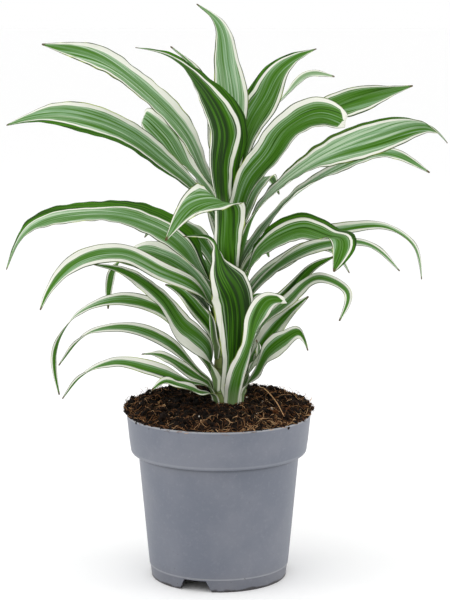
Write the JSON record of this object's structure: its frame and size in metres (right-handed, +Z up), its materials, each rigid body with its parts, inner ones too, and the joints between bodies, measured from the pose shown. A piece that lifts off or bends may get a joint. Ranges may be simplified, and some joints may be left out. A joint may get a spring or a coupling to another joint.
{
  "type": "potted white jewel dracaena",
  "caption": "Young dracaena with long arching white-striped strap leaves on one short upright cane, in a round tapered grey nursery pot filled with dark soil.",
  "frame": {"origin": "on the pot's axis at its foot, which is the middle of the plant's plan within 2 mm", "axes": "+Z up along the cane, -Y towards the pictured front, +X to its right"},
  "size_m": [0.2809, 0.1967, 0.3714],
  "materials": {
    "pot_plastic": "satin blue-grey moulded plastic",
    "soil_peat": "loose dark brown peat with fibres",
    "cane_bark": "smooth green-brown young cane",
    "leaf_blade": "semi-gloss leaf, green with white bands"
  },
  "bodies": {
    "root": {"pot": "pot_plastic", "soil": "soil_peat", "stem": "cane_bark", "leaf_back_1": "leaf_blade", "leaf_back_10": "leaf_blade", "leaf_back_2": "leaf_blade", "leaf_back_3": "leaf_blade", "leaf_back_4": "leaf_blade", "leaf_back_5": "leaf_blade", "leaf_back_6": "leaf_blade", "leaf_back_7": "leaf_blade", "leaf_back_8": "leaf_blade", "leaf_back_9": "leaf_blade", "leaf_behind_left": "leaf_blade", "leaf_crown_back": "leaf_blade", "leaf_crown_front": "leaf_blade", "leaf_crown_left": "leaf_blade", "leaf_crown_right": "leaf_blade", "leaf_crown_sliver": "leaf_blade", "leaf_folded_front": "leaf_blade", "leaf_foot_short": "leaf_blade", "leaf_foot_upright": "leaf_blade", "leaf_front_centre": "leaf_blade", "leaf_front_low": "leaf_blade", "leaf_front_right": "leaf_blade", "leaf_front_right_low": "leaf_blade", "leaf_left_big_low": "leaf_blade", "leaf_left_foot": "leaf_blade", "leaf_left_hanging": "leaf_blade", "leaf_left_hook": "leaf_blade", "leaf_left_inner": "leaf_blade", "leaf_left_low_back": "leaf_blade", "leaf_left_low_long": "leaf_blade", "leaf_left_lowest": "leaf_blade", "leaf_left_shaded": "leaf_blade", "leaf_left_twisted": "leaf_blade", "leaf_long_left": "leaf_blade", "leaf_long_right": "leaf_blade", "leaf_middle_left": "leaf_blade", "leaf_right_arch": "leaf_blade", "leaf_right_far_hook": "leaf_blade", "leaf_right_hook": "leaf_blade", "leaf_right_low": "leaf_blade", "leaf_right_low_arch": "leaf_blade", "leaf_right_small_hook": "leaf_blade", "leaf_right_vivid": "leaf_blade", "leaf_spear": "leaf_blade", "leaf_upper_right": "leaf_blade", "leaf_wide_right": "leaf_blade"}
  },
  "joints": []
}
